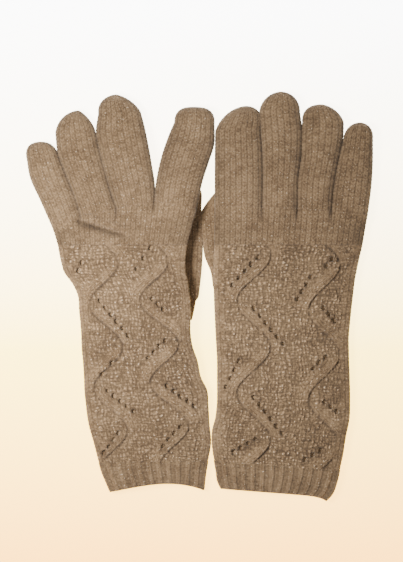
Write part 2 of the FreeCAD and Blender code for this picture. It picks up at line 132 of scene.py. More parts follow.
# Fingers: left edge stations, right edge stations, then the tip's end point and how full it is on its
# left and right sides.
FINGERS = {
    "left": {
        "little": (
            ((-97.3, 46.5), (-104.9, 63.5), (-111.6, 78.5), (-113.8, 91.0)),
            ((-78.5, 53.0), (-82.3, 65.0), (-88.0, 79.5), (-93.4, 92.5)),
            (-105.6, 101.7, 2.3, 2.1),
        ),
        "ring": (
            ((-78.5, 53.0), (-82.5, 65.5), (-88.1, 80.0), (-93.4, 94.5), (-94.9, 107.5)),
            ((-54.9, 57.8), (-58.8, 68.5), (-62.2, 81.0), (-66.2, 96.0), (-69.2, 109.0)),
            (-80.0, 122.3, 2.1, 1.25),
        ),
        "middle": (
            ((-54.9, 57.8), (-58.7, 69.0), (-62.2, 81.5), (-66.2, 97.0), (-68.2, 109.0), (-66.6, 120.5)),
            ((-29.7, 63.0), (-29.9, 74.0), (-31.7, 86.0), (-34.1, 99.5), (-36.6, 111.5), (-39.0, 120.5)),
            (-55.2, 132.8, 1.8, 1.5),
        ),
        "index": (
            ((-29.7, 63.0), (-28.4, 76.0), (-24.7, 93.0), (-20.6, 105.0), (-16.6, 114.5)),
            ((-2.3, 57.5), (1.2, 74.5), (5.8, 89.0), (9.1, 100.0), (9.3, 114.0)),
            (-3.2, 124.6, 2.6, 2.5),
        ),
    },
    "right": {
        "index": (
            ((9.9, 60.0), (9.9, 76.0), (10.0, 94.0), (10.3, 108.5)),
            ((40.9, 58.5), (41.2, 76.0), (40.9, 94.0), (39.8, 110.5)),
            (29.6, 125.2, 1.95, 1.95),
        ),
        "middle": (
            ((40.9, 58.5), (41.4, 76.0), (41.1, 94.0), (40.1, 110.0), (39.3, 121.5)),
            ((64.1, 58.3), (64.3, 77.0), (66.4, 93.0), (66.9, 110.0), (65.5, 121.5)),
            (53.2, 134.7, 1.85, 1.9),
        ),
        "ring": (
            ((64.1, 58.3), (64.5, 77.0), (66.7, 93.0), (66.7, 106.0), (67.5, 114.5)),
            ((86.4, 56.5), (88.4, 76.0), (91.4, 91.5), (94.1, 106.0), (94.4, 114.0)),
            (80.0, 126.3, 2.2, 1.65),
        ),
        "little": (
            ((86.4, 56.5), (88.6, 76.0), (91.6, 91.5), (94.7, 104.0)),
            ((110.1, 53.5), (112.7, 74.0), (113.5, 89.0), (113.5, 103.5)),
            (105.4, 114.4, 2.0, 1.95),
        ),
    },
}
THUMBS = {
    "left": (
        ((-22.4, 2.0), (-23.3, 12.0), (-23.2, 26.0), (-22.8, 42.0), (-22.0, 55.0), (-21.2, 65.0)),
        ((-0.6, 2.0), (0.6, 12.0), (1.7, 26.0), (1.8, 40.0), (0.9, 55.0), (1.3, 66.0)),
        (-10.2, 74.6, 2.4, 2.4),
    ),
    "right": (
        ((8.4, 8.0), (7.4, 15.0), (3.0, 27.0), (1.5, 41.0), (0.8, 55.5)),
        ((30.4, 10.0), (30.6, 18.0), (27.8, 32.0), (24.6, 45.0), (20.8, 60.0)),
        (13.4, 71.4, 1.25, 2.2),
    ),
}
THUMB_THICK = 3.6
THUMB_WALL = 0.8
THUMB_RELIEF = 0.35
THUMB_WALES = 14
THUMB_CLEARANCE = 0.05  # air between the thumb and the table
THUMB_LEAD = 8.0  # length of the rounded end that closes a thumb's base under the palm
THUMB_LEAD_ROWS = 24
THUMB_LEAD_ANGLE = 84  # degrees of its round
COUNT_ROW = 60  # mesh row of a finger where its stitches are counted
AHEAD_ROW = 40  # mesh row of a finger that shows which way it points
THUMB_AHEAD_ROW = 6
WRIST_ROW = -14.0  # row of the wrist fold
GUSSET_NARROW = {"left": (-17.0, -5.6), "right": (14.2, 26.2)}  # side edges at the wrist end
GUSSET_OVERLAP = 2.0
GUSSET_WALES = 12
GUSSET_THICK = 2.5
GUSSET_MIDDLE = 1.7
GUSSET_WALL = 0.7
GUSSET_RELIEF = 0.35
SEAM_INSET = 4.6  # how far inside the little-finger edge the seam lies
SEAM_HALF_WIDTH = 1.2
SEAM_HALF_THICK = 0.6
SEAM_WALL = 0.35
SEAM_COLUMNS = 24
SEAM_REACH = 40.0  # from the sleeve's middle to the seam, for the tilt of the rows
SEAM_SPLIT = -24.0
SEAM_TOP = 45.0
WEB_HALF = (1.7, 2.6, 1.25)  # half sizes of a web, across, along and up
WEB_BACK = 0.9
WEB_GRID = (14, 24)
# Travelling lines of the lace: middle at row 0, its drift per row, swing, row of a right-hand turn and
# period.
LINES = {
    "left": ((-62.6, -0.055, 10.2, -33.0, 55.0), (-28.6, -0.125, 11.0, -30.5, 54.0)),
    "right": ((35.6, 0.0, 11.0, 27.0, 60.5), (81.8, 0.0, 10.2, -38.5, 59.0)),
}
BAND = 9.5  # width of the smooth band above each line
# Runs of eyelets: first and last centre, and how many.
EYELET_RUNS = {
    "left": (
        (-77.6, 22.3, -79.6, 17.2, 2),
        (-65.9, -2.7, -47.2, -25.4, 6),
        (-58.0, -43.5, -64.0, -51.0, 2),
        (-60.8, -61.8, -43.8, -75.4, 5),
        (-53.4, -89.6, -63.1, -102.7, 4),
        (-32.4, 32.0, -41.5, 18.3, 3),
        (-31.3, -1.5, -23.9, -8.4, 3),
        (-22.8, -28.8, -34.0, -40.0, 4),
        (-21.6, -58.9, -3.4, -72.0, 5),
        (-13.1, -85.6, -24.5, -98.1, 4),
    ),
    "right": (
        (37.9, 25.8, 21.1, 7.8, 5),
        (35.5, -7.8, 54.4, -31.0, 6),
        (25.7, -42.5, 16.9, -59.3, 4),
        (35.5, -66.3, 54.0, -89.7, 6),
        (36.1, -93.5, 22.2, -102.2, 4),
        (86.5, 24.6, 83.0, 20.5, 2),
        (72.6, 13.0, 64.1, -1.4, 4),
        (80.7, -7.2, 88.2, -15.9, 3),
        (82.4, -39.7, 74.3, -47.2, 3),
        (81.9, -69.2, 90.0, -75.5, 3),
        (79.0, -101.0, 69.0, -107.0, 3),
    ),
}
EYELET = (1.45, 1.65)  # half width and half height of an eyelet
SIDE_STRIP = 6.5  # about how wide the plain strip along each side edge is
GAP = 0.9  # air between the two layers of the lace, which lie almost against each other
CORNER_DROOP = 2.6  # how far the right cuff's outer corner hangs back
CORNER_REACH = 22.0  # rows over which that fades

tone_table = np.random.default_rng(SEED).random(TONES)


def curve(knots, values, at):
    """Smooth curve through values at knots, sampled at the given places."""
    k = np.asarray(knots, float)
    y = np.asarray(values, float).reshape(len(k), -1)
    h = np.diff(k)
    d = np.diff(y, axis=0) / h[:, None]
    m = np.empty_like(y)
    m[1:-1] = (d[:-1] * h[1:, None] + d[1:] * h[:-1, None]) / (h[:-1] + h[1:])[:, None]
    m[0] = d[0]
    m[-1] = d[-1]
    at = np.clip(np.asarray(at, float), k[0], k[-1])
    i = np.clip(np.searchsorted(k, at, side="right") - 1, 0, len(k) - 2)
    t = ((at - k[i]) / h[i])[..., None]
    hi = h[i][..., None]
    return (
        (2 * t**3 - 3 * t**2 + 1) * y[i]
        + (t**3 - 2 * t**2 + t) * hi * m[i]
        + (3 * t**2 - 2 * t**3) * y[i + 1]
        + (t**3 - t**2) * hi * m[i + 1]
    )


def step(x, low, high):
    """Smooth step from 0 at low to 1 at high."""
    t = np.clip((x - low) / (high - low), 0, 1)
    return t * t * (3 - 2 * t)


def section(half_width, half_thick, count):
    """Upper half of a flattened tube's section, from left to right and evenly spaced, a row per width."""
    angle = np.linspace(0, math.pi, 361)
    c, s = np.cos(angle), np.sin(angle)
    x = -np.sign(c) * np.abs(c) ** (2 / SMOOTH_POWER)
    z = np.abs(s) ** (2 / SMOOTH_POWER)
    even = np.linspace(0, 1, count)
    across = np.empty((len(half_width), count))
    height = np.empty_like(across)
    for row, (a, b) in enumerate(zip(half_width, half_thick)):
        length = np.concatenate([[0], np.cumsum(np.hypot(np.diff(x * a), np.diff(z * b)))])
        length /= length[-1]
        across[row] = np.interp(even, length, x * a)
        height[row] = np.interp(even, length, z * b)
    return across, height


def ring(half_width, half_thick, count, part="ring"):
    """Section points all round (count of them), or only over the top or under the bottom."""
    half = count // 2
    across, height = section(half_width, half_thick, half + 1)
    if part == "top":
        return across, height
    if part == "under":
        return across[:, ::-1], -height[:, ::-1]
    return (
        np.concatenate([across, across[:, -2:0:-1]], axis=1),
        np.concatenate([height, -height[:, -2:0:-1]], axis=1),
    )


def normals(grid, wrap):
    """Outward unit normals of a grid whose rows run along +Y and columns over the top from the left."""
    if wrap:
        across = np.roll(grid, -1, axis=1) - np.roll(grid, 1, axis=1)
    else:
        across = np.gradient(grid, axis=1)
    n = np.cross(across, np.gradient(grid, axis=0))
    return n / np.maximum(np.linalg.norm(n, axis=2, keepdims=True), 1e-9)


def stocking(u, v):
    """Relief of stocking stitch, 0 to 1: each stitch is a V of two legs."""
    a = u % 1
    lean = np.abs(2 * a - 1)
    phase = (v - 0.7 * lean) % 1
    legs = (0.3 + 0.7 * np.sin(math.pi * a) ** 0.5) * (1 - 0.3 * np.exp(-(((a - 0.5) / 0.13) ** 2)))
    return legs * (0.42 + 0.58 * np.sin(math.pi * phase) ** 0.6)


def bumps(u, v):
    """Separate purl bumps, 0 to 1, each with its own height and its own place in its cell."""
    across = u % 1 - 0.5 - 0.34 * (tone(u + 37, v + 11) - 0.5)
    along = v % 1 - 0.5 - 0.34 * (tone(u + 71, v + 29) - 0.5)
    return (0.1 + 0.9 * tone(u, v)) * np.exp(-(across**2 + along**2) / 0.085)


def moss(u, v):
    """Relief of moss stitch, 0 to 1: purl bumps of two sizes on wandering rows and columns."""
    drift = 0.5 * np.sin(0.83 * u + 0.57 * v) * np.sin(0.61 * v - 0.29 * u + 1.3)
    sway = 0.5 * np.sin(0.71 * u - 0.47 * v + 0.9) * np.sin(0.53 * u + 0.67 * v)
    large = bumps(1.37 * u + drift, 1.06 * v + sway)
    small = bumps(2.13 * u + sway + 0.4, 1.72 * v + drift + 0.3)
    return np.clip(0.8 * large + 0.45 * small + 0.1 * stocking(u + 0.4 * drift, v), 0, 1)


def tone(u, v):
    """A number from 0 to 1 for each stitch."""
    return tone_table[np.floor(u).astype(int) % TONES[0], np.floor(v).astype(int) % TONES[1]]


def ripple(x, y):
    """Slow unevenness of soft fabric lying on a table."""
    return RIPPLE * (
        np.sin(0.061 * x + 0.043 * y + 0.4) * np.sin(0.083 * y - 0.031 * x + 1.1)
        + 0.55 * np.sin(0.17 * x - 0.11 * y + 2.0) * np.sin(0.13 * y + 0.07 * x)
    )


def grid_quads(rows, cols, first, wrap, flip):
    """Quads of a rows x cols grid of points numbered from first."""
    index = first + np.arange(rows * cols).reshape(rows, cols)
    right = np.roll(index, -1, axis=1) if wrap else index[:, 1:]
    left = index if wrap else index[:, :-1]
    quads = np.stack([left[:-1], right[:-1], right[1:], left[1:]], axis=-1)
    return quads[..., ::-1] if flip else quads


def rim(fine, coarse, picked, flip):
    """Triangles that join a fine line of points to a coarse one, whose points stand at picked places."""
    tris = []
    for k in range(len(picked) - 1):
        for j in range(picked[k], picked[k + 1]):
            tris.append((coarse[k], fine[j], fine[j + 1]))
        tris.append((coarse[k], fine[picked[k + 1]], coarse[k + 1]))
    tris = np.array(tris)
    return tris[:, ::-1] if flip else tris


def make_mesh(name, points, groups, facts):
    """Mesh object from points in millimetres, arrays of faces, and a value per point for each fact."""
    loops = np.concatenate([g.reshape(-1) for g in groups])
    sizes = np.concatenate([np.full(g.size // g.shape[-1], g.shape[-1]) for g in groups])
    mesh = bpy.data.meshes.new(name)
    mesh.vertices.add(len(points))
    mesh.vertices.foreach_set("co", (points * MM).astype(np.float32).reshape(-1))
    mesh.loops.add(len(loops))
    mesh.loops.foreach_set("vertex_index", loops.astype(np.int32))
    mesh.polygons.add(len(sizes))
    starts = np.concatenate([[0], np.cumsum(sizes)[:-1]]).astype(np.int32)
    mesh.polygons.foreach_set("loop_start", starts)
    mesh.update(calc_edges=True)
    mesh.validate()
    mesh.polygons.foreach_set("use_smooth", np.ones(len(mesh.polygons), bool))
    for fact, values in facts.items():
        layer = mesh.attributes.new(fact, "FLOAT", "POINT")
        layer.data.foreach_set("value", values.astype(np.float32).reshape(-1))
    rest = mesh.attributes.new("rest", "FLOAT_VECTOR", "POINT")
    rest.data.foreach_set("vector", (points * MM).astype(np.float32).reshape(-1))
    obj = bpy.data.objects.new(name, mesh)
    bpy.context.scene.collection.objects.link(obj)
    return obj


def shell(base, relief, shade, wrap, tip, wall):
    """Closed fabric shell: a fine outer face with relief, a coarse inner face, and rims if it is open."""
    rows, cols = base.shape[:2]
    n = normals(base, wrap)
    outer = base + n * relief[..., None]
    pick_rows = np.unique(np.concatenate([np.arange(0, rows, COARSE), [rows - 1]]))
    pick_cols = np.arange(0, cols, COARSE)
    depth = np.broadcast_to(wall, (rows, cols))[..., None]
    inner = (base - n * depth)[np.ix_(pick_rows, pick_cols)]
    r, c = inner.shape[:2]
    points = [outer.reshape(-1, 3), inner.reshape(-1, 3)]
    first = rows * cols
    groups = [grid_quads(rows, cols, 0, wrap, False), grid_quads(r, c, first, wrap, True)]
    fine = np.arange(rows * cols).reshape(rows, cols)
    coarse = first + np.arange(r * c).reshape(r, c)
    if wrap:
        fine = np.concatenate([fine, fine[:, :1]], axis=1)
        coarse = np.concatenate([coarse, coarse[:, :1]], axis=1)
        pick_cols = np.append(pick_cols, cols)
    groups.append(rim(fine[0], coarse[0], pick_cols, True))
    apexes = []
    if tip:
        for grid, flip in ((fine, False), (coarse, True)):
            last = grid[-1]
            apex = np.full(len(last) - 1, first + r * c + len(apexes))
            fan = np.stack([last[:-1], last[1:], apex], axis=1)
            groups.append(fan[:, ::-1] if flip else fan)
            apexes.append(outer[-1].mean(axis=0) if not flip else inner[-1].mean(axis=0))
        points.append(np.array(apexes))
    else:
        groups.append(rim(fine[-1], coarse[-1], pick_cols, False))
    if not wrap:
        for edge, flip in ((0, False), (-1, True)):
            groups.append(rim(fine[:, edge], coarse[:, edge], pick_rows, flip))
    # Painted shade: outer points keep their shade values and inner points all get INSIDE.
    painted_shade_values = [shade.reshape(-1), np.full(r * c + len(apexes), INSIDE)]
    return points, groups, np.concatenate(painted_shade_values)


def knit(name, base, relief, shade, tones, wrap, tip=False, wall=WALL):
    """A piece of plain or ribbed fabric with the given relief over its base surface."""
    points, groups, painted_shade_values = shell(base, relief, shade, wrap, tip, wall)
    points = np.concatenate(points)
    every = np.full(len(points), 0.5)
    every[: tones.size] = tones.reshape(-1)
    # Painted shade values go with the points, for the material to darken the colour by.
    return make_mesh(name, points, groups, {"depth": painted_shade_values, "tone": every})


def tube_columns(wales):
    """Mesh columns round a tube of so many stitches: a multiple of six, as its two faces need."""
    return wales * FINE // 6 * 6


def stitch_counts(distance, shape, columns=FINE):
    """Stitch number across and along for each point of a grid whose rows are at the given distances."""
    u = np.broadcast_to(np.arange(shape[1]) / columns, shape)
    v = np.broadcast_to((distance / COURSE)[:, None], shape)
    return u, v


# ---------------------------------------------------------------- sleeves


def low_edge_distance(side, x, left, right):
    """Distance from the little-finger edge, where the glove lies lowest."""
    return x - left if side == "left" else right - x


def lift(side, row, x, left, right):
    """How far the roll of the hand lifts the fabric."""
    roll = curve(*zip(*ROLL[side]), row)[..., 0]
    return low_edge_distance(side, x, left, right) * np.sin(np.radians(roll))


def sleeve_edges(side, row):
    """Left and right edge of the sleeve at a row."""
    table = np.array(SLEEVE[side])
    return np.moveaxis(curve(table[:, 0], table[:, 1:3], row), -1, 0)


def sleeve_base(side, rows, count, part="ring"):
    """Base surface of the sleeve at the given rows."""
    table = np.array(SLEEVE[side])
    left, right, tilt, bow = curve(table[:, 0], table[:, 1:], rows).T
    half = (right - left) / 2
    across, height = ring(half, np.full(len(rows), SLEEVE_THICK / 2), count, part)
    x = ((left + right) / 2)[:, None] + across
    share = across / half[:, None]
    y = rows[:, None] + tilt[:, None] * across + bow[:, None] * (1 - share**2) * (1 + 0.4 * share)
    if side == "right":
        at_hem = rows[0] < RIB_TOP[side] - 5.0
        corner = CORNER_DROOP * (1 - step(rows, rows[0], rows[0] + CORNER_REACH)) * at_hem
        y = y - corner[:, None] * np.maximum(share, 0) ** 7
    z = RISE + lift(side, rows[:, None], x, left[:, None], right[:, None]) + height
    top = (height > 0) * (1 - np.abs(share) ** 4)
    z = z + ripple(x, y) * top
    return np.stack([x, y, z], axis=-1)


def edge_distance(side, x, row):
    """Distance from the nearer side edge of the sleeve."""
    left, right = sleeve_edges(side, row)
    return np.minimum(x - left, right - x)


def line_at(line, row):
    """Where a travelling line is at a row, and which way it leans: above it lies the smooth band."""
    middle, drift, swing, turn, period = line
    angle = 2 * math.pi * (row - turn) / period
    return middle + drift * row + swing * np.cos(angle), np.sin(angle)


def eyelets(side):
    """Centre and lean of every eyelet of the lace."""
    found = []
    for x0, y0, x1, y1, count in EYELET_RUNS[side]:
        way = 1.0 if x1 > x0 else -1.0
        for share in np.linspace(0, 1, count):
            found.append((x0 + share * (x1 - x0), y0 + share * (y1 - y0), way))
    return found


def lace_relief(side, base, row, u, v):
    """Relief and shade of the lace: moss ground, smooth bands, sharp lines and plain sides."""
    x = base[..., 0]
    y = base[..., 1]
    ground = moss(u, v)
    relief = 1.3 * ground
    # Painted shade: darker between the moss bumps, lighter on the tallest.
    shade = 0.05 + 1.5 * ground
    for line in LINES[side]:
        place, lean = line_at(line, y)
        ahead = line_at(line, y + 0.5)[0]
        slope = (ahead - place) / 0.5
        away = (x - place) / np.sqrt(1 + slope**2) * np.sign(lean)
        strength = step(np.abs(lean), 0.0, 0.45)
        band = 0.8 * step(away, 0.0, 0.7) * (1 - step(away, BAND - 4.5, BAND)) * strength
        plain = stocking(away / 2.4 + 0.1, y / COURSE + 0.25 * np.sin(1.1 * x))
        raised = 0.55 * (1 - step(away, 0.0, BAND + 1.0)) ** 0.8
        relief = relief * (1 - band) + band * (0.7 * plain + raised)
        # Painted shade of the band's leaning stitches.
        shade = shade * (1 - band) + band * (1.15 * plain - 0.2) * (0.8 + 0.6 * ground)
        patch = 0.55 + 0.45 * np.sin(0.19 * y + 0.11 * x + line[0])
        # Painted shade along each line's groove, stronger in patches.
        soft = np.exp(-((away / 0.8) ** 2)) * (0.55 + 0.45 * patch)
        relief = relief - 0.5 * soft
        shade = shade * (1 - 0.85 * soft)
    side_plain = stocking(u, v)
    uneven = 1.6 * np.sin(0.37 * y) * np.sin(0.21 * y + 0.05 * x)
    edge = 0.8 * (1 - step(edge_distance(side, x, row) + uneven, SIDE_STRIP - 3.0, SIDE_STRIP + 1.0))
    relief = relief * (1 - edge) + edge * RELIEF * side_plain
    # Painted shade between the stitch legs of the plain side strips.
    shade = shade * (1 - edge) + edge * (0.05 + 0.65 * side_plain)
    return relief, shade


def open_eyelets(side, base, relief, shade):
    """Opens the eyelets in place, pulling points out to each rim, and marks the cells left open."""
    x, y = base[..., 0].copy(), base[..., 1].copy()
    open_cell = np.zeros((base.shape[0] - 1, base.shape[1] - 1), bool)
    for number, (cx, cy, way) in enumerate(eyelets(side)):
        wide, tall = np.array(EYELET) * (0.78 + 0.3 * tone_table[5, number * 7 % TONES[1]])
        dx = (x - cx) + way * 0.25 * (y - cy)
        far = np.hypot(dx / wide, (y - cy) / tall)
        inside = far < 1
        relief += 0.3 * np.exp(-(((far - 1.6) / 0.55) ** 2)) - 0.35 * np.exp(-((far / 1.2) ** 2))
        # Painted shade in and round each eyelet.
        shade *= 1 - 0.6 * np.exp(-((far / 1.5) ** 2))
        open_cell |= inside[:-1, :-1] & inside[1:, :-1] & inside[:-1, 1:] & inside[1:, 1:]
        push = np.where(inside & (far > 0.05), 1 / np.maximum(far, 0.05), 1.0)
        base[..., 0] = np.where(inside, cx + (x - cx) * push, base[..., 0])
        base[..., 1] = np.where(inside, cy + (y - cy) * push, base[..., 1])
    return open_cell


def lace_front(side, name, low, high):
    """Upper face of the lace: both faces of the fabric on one grid, so the eyelets go through."""
    count = WALES[side] * FINE
    rows = np.linspace(low, high, round((high - low) / ROW) + 1)
    base = sleeve_base(side, rows, count, "top")
    n = normals(base, False)
    r, c = base.shape[:2]
    u, v = stitch_counts(rows, (r, c))
    row = np.broadcast_to(rows[:, None], (r, c))
    relief, shade = lace_relief(side, base, row, u, v)
    kept = ~open_eyelets(side, base, relief, shade)
    outer = base + n * relief[..., None]
    inner = base - n * LACE_WALL
    first = r * c
    top = grid_quads(r, c, 0, False, False)
    low_face = grid_quads(r, c, first, False, True)
    groups = [top[kept], low_face[kept]]
    index = np.arange(r * c).reshape(r, c)
    groups.append(hole_walls(kept, index, first))
    points = np.concatenate([outer.reshape(-1, 3), inner.reshape(-1, 3)])
    used = np.zeros(len(points), bool)
    for g in groups:
        used[g.reshape(-1)] = True
    renumber = np.cumsum(used) - 1
    tones = np.concatenate([tone(u, v).reshape(-1), np.full(r * c, 0.5)])
    # Painted shade values go with the points, for the material to darken the colour by.
    painted_shade_values = np.concatenate([shade.reshape(-1), np.full(r * c, INSIDE)])
    facts = {"depth": painted_shade_values[used], "tone": tones[used]}
    return make_mesh(name, points[used], [renumber[g] for g in groups], facts)


def hole_walls(kept, index, first):
    """Quads between the two faces wherever a kept cell borders a missing one or the outside."""
    framed = np.zeros((kept.shape[0] + 2, kept.shape[1] + 2), bool)
    framed[1:-1, 1:-1] = kept
    here = framed[1:-1, 1:-1]
    walls = []
    for dr, dc, start, end in (
        (-1, 0, (0, 0), (0, 1)),
        (1, 0, (1, 1), (1, 0)),
        (0, -1, (1, 0), (0, 0)),
        (0, 1, (0, 1), (1, 1)),
    ):
        beside = framed[1 + dr : framed.shape[0] - 1 + dr, 1 + dc : framed.shape[1] - 1 + dc]
        i, j = np.nonzero(here & ~beside)
        a = index[i + start[0], j + start[1]]
        b = index[i + end[0], j + end[1]]
        walls.append(np.stack([b, a, a + first, b + first], axis=1))
    return np.concatenate(walls)


def lace_under(side, name, low, high):
    """Under face of the sleeve, in stocking stitch."""
    count = tube_columns(WALES[side])
    rows = np.linspace(low, high, round((high - low) / UNDER_ROW) + 1)
    base = sleeve_base(side, rows, count, "under")
    u, v = stitch_counts(rows, base.shape[:2])
    plain = stocking(u, v)
    left, right = sleeve_edges(side, rows)
    height = ring((right - left) / 2, np.full(len(rows), SLEEVE_THICK / 2), count, "under")[1]
    wall = np.maximum(2 * np.abs(height) - LACE_WALL - GAP, WALL)
    # Painted shade: darker between the stitch legs.
    return knit(name, base, RELIEF * plain, 0.2 + 0.8 * plain, tone(u, v), False, wall=wall)


def rib_cuff(side):
    """Single-rib cuff, open at the hem."""
    rows = np.linspace(SLEEVE[side][0][0], RIB_TOP[side] + CUFF_OVERLAP, CUFF_ROWS)
    base = sleeve_base(side, rows, RIBS[side] * RIB_FINE)
    u, v = stitch_counts(rows, base.shape[:2], RIB_FINE)
    column = step(np.cos(2 * math.pi * u), -0.5, 0.6)
    hem = 1 - step(rows, rows[0], rows[0] + 1.6)[:, None]
    knitted = stocking(u * 2 + 0.5, v)
    purled = (np.sin(math.pi * ((u * 2 + 0.5) % 1)) * np.sin(math.pi * (v % 1))) ** 0.6
    plain = knitted * column + 0.6 * purled * (1 - column)
    relief = 0.38 * column + 0.35 * plain - 0.15 * hem
    # Painted shade: lighter on the raised rib columns and stitch legs, darker between them.
    shade = 0.42 + 0.1 * column + 0.42 * plain
    return knit(f"{side}_rib_cuff_knit", base, relief, shade, tone(u * 2, v), True, wall=1.2)


# ---------------------------------------------------------------- palm and fingers


def crotch_line(side):
    """Points where the fingers meet the palm, from left to right."""
    names = list(FINGERS[side])
    points = [FINGERS[side][n][0][0] for n in names]
    points.append(FINGERS[side][names[-1]][1][0])
    return np.array(points)


def profile(q, power=SMOOTH_POWER):
    """Height of a superellipse across its width, 1 in the middle."""
    return np.maximum(1 - np.abs(np.clip(q, -1, 1)) ** power, 0) ** (1 / power)


def palm(side):
    """Palm from the lace to the finger bases, where it takes their four rounds."""
    corners = crotch_line(side)
    count = PALM_WALES[side] * FINE
    t = np.linspace(0, 1, PALM_ROWS)
    start_left, start_right = SLEEVE[side][-1][1:3]
    left = start_left + (corners[0, 0] - start_left) * t
    right = start_right + (corners[-1, 0] - start_right) * t
    half = (right - left) / 2
    across, height = ring(half, np.full(PALM_ROWS, SLEEVE_THICK / 2), count)
    x = ((left + right) / 2)[:, None] + across
    ends = np.interp(x, corners[:, 0], corners[:, 1])
    y = LACE_TOP + t[:, None] * (ends - LACE_TOP)
    finger = np.clip(np.searchsorted(corners[:, 0], x) - 1, 0, 3)
    middle = (corners[finger, 0] + corners[finger + 1, 0]) / 2
    reach = (corners[finger + 1, 0] - corners[finger, 0]) / 2
    rounds = np.maximum(profile((x - middle) / reach), 0.3 * profile(across / half[:, None], 6))
    join = step(t, 0.55, 1.0)[:, None]
    height = height * (1 - join) + join * np.sign(height) * rounds * FINGER_THICK / 2
    nominal = LACE_TOP + 24 * t
    z = RISE + lift(side, nominal[:, None], x, left[:, None], right[:, None]) + height
    z = z + ripple(x, y) * (height > 0) * (1 - np.abs(across / half[:, None]) ** 4)
    if side == "left":
        z = z + wrinkle(x, y) * (height > 0)
    base = np.stack([x, y, z], axis=-1)
    u = np.broadcast_to(np.arange(count) / FINE, x.shape)
    v = y / COURSE
    plain = stocking(u, v)
    # Painted shade: darker between the stitch legs, towards the side edges and in the crotches between the
    # finger bases.
    hollow = np.clip(np.abs(height) / (SLEEVE_THICK / 2), 0, 1)
    shade = (0.2 + 0.8 * plain) * (0.2 + 0.8 * hollow)
    # Painted shade along the wrinkle's valley.
    if side == "left":
        shade = shade * (1 + np.minimum(0.75 * wrinkle(x, y), 0))
    return knit(f"{side}_palm_knit", base, RELIEF * plain, shade, tone(u, v), True)


def wrinkle(x, y):
    """Slanting fold across the back of the left hand."""
    start, end = np.array([-80.0, 50.5]), np.array([-47.0, 40.0])
    run = (end - start) / np.linalg.norm(end - start)
    along = (x - start[0]) * run[0] + (y - start[1]) * run[1]
    away = -(x - start[0]) * run[1] + (y - start[1]) * run[0]
    span = step(along, -6, 6) * (1 - step(along, 26, 40))
    ridge = 1.3 * np.exp(-(((away - 3.0) / 2.6) ** 2))
    valley = 1.2 * np.exp(-(((away + 1.2) / 2.4) ** 2))
    return span * (ridge - valley)


def tube(left_edge, right_edge, tip, thick):
    """Rows of a flattened tube between two edges, closed in a rounded tip.

    tip gives its end point and how full it is on its left and right sides. For each row it returns the
    centre, the half-width vector, the half thickness, the distance along and how open the tube is.
    """
    left_edge, right_edge = np.array(left_edge), np.array(right_edge)
    end, full = np.array(tip[:2]), tip[2:]
    middle = (left_edge + right_edge) / 2
    length = np.concatenate([[0], np.cumsum(np.linalg.norm(np.diff(middle, axis=0), axis=1))])
    count = round(length[-1] / ROW)
    at = np.linspace(0, length[-1], count)
    lefts, rights = curve(length, left_edge, at), curve(length, right_edge, at)
    centre, half = (lefts[-1] + rights[-1]) / 2, (rights[-1] - lefts[-1]) / 2
    forward = 1 - (1 - np.linspace(0, 1, 401)) ** 2.2
    forward = forward[forward < 0.9995]
    sides = [(1 - forward**power) ** (1 / power) for power in full]
    reach, wide = np.linalg.norm(end - centre), np.linalg.norm(half)
    narrow = (sides[0] + sides[1]) / 2
    run = np.concatenate([[0], np.cumsum(np.hypot(np.diff(forward * reach), np.diff(narrow * wide)))])
    even = np.linspace(0, run[-1], max(12, round(run[-1] / ROW)))[1:]
    spine = centre + np.interp(even, run, forward)[:, None] * (end - centre)
    lefts = np.concatenate([lefts, spine - np.interp(even, run, sides[0])[:, None] * half])
    rights = np.concatenate([rights, spine + np.interp(even, run, sides[1])[:, None] * half])
    narrow = np.interp(even, run, narrow)
    thicks = np.concatenate([np.full(count, thick / 2), thick / 2 * (0.12 + 0.88 * narrow**0.7)])
    distance = np.concatenate([at, length[-1] + even])
    open_share = np.concatenate([np.ones(count), narrow])
    return (lefts + rights) / 2, (rights - lefts) / 2, thicks, distance, open_share


def tube_surface(centres, halves, thicks, count):
    """Points of a flattened tube in plan, their heights, and their share of the half width."""
    width = np.linalg.norm(halves, axis=1)
    across, height = ring(width, thicks, count)
    share = across / width[:, None]
    point = centres[:, None, :] + share[..., None] * halves[:, None, :]
    return point[..., 0], point[..., 1], height, share


def tip_fade(open_share):
    """How much of the stitch relief is left on each row, which gets less towards a tip."""
    return (0.35 + 0.65 * step(open_share, 0.15, 0.8))[:, None]


def finger(side, name):
    """One finger, from the crotch line to its rounded tip, sinking from the palm's height to the table."""
    left_edge, right_edge, tip = FINGERS[side][name]
    corners = crotch_line(side)
    centres, halves, thicks, distance, open_share = tube(left_edge, right_edge, tip, FINGER_THICK)
    centres[0] -= (centres[1] - centres[0]) * 1.5
    width = np.linalg.norm(halves[COUNT_ROW])
    wales = 2 * round((2 * width + 2.0) / WALE)
    x, y, height, share = tube_surface(centres, halves, thicks, tube_columns(wales))
    sink = step(distance / distance[-1], 0.0, 1.0)[:, None]
    held = RISE + lift(side, np.array(KNUCKLE_ROW), x, corners[0, 0], corners[-1, 0])
    z = held * (1 - sink) + (FINGER_THICK / 2 + RELIEF) * sink
    z = z + height + ripple(x, y) * (height > 0) * (1 - sink) * (1 - np.abs(share) ** 4)
    base = np.stack([x, y, z], axis=-1)
    u, v = stitch_counts(distance, x.shape)
    plain = stocking(u, v)
    fade = tip_fade(open_share)
    # Painted shade: darker between the stitch legs and towards the finger's side edges, which draws dark
    # lines between the fingers.
    hollow = np.clip(np.abs(height) / thicks[:, None], 0, 1)
    shade = (0.2 + 0.8 * plain) * (0.2 + 0.8 * hollow)
    label = f"{side}_{name}_finger_knit"
    obj = knit(label, base, RELIEF * fade * plain, shade, tone(u, v), True, tip=True)
    hand, own = f"{side}_hand", f"{side}_{name}_finger"
    ahead = centres[AHEAD_ROW] - centres[0]
    ahead /= np.linalg.norm(ahead)
    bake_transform(obj)
    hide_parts(own)
    return obj


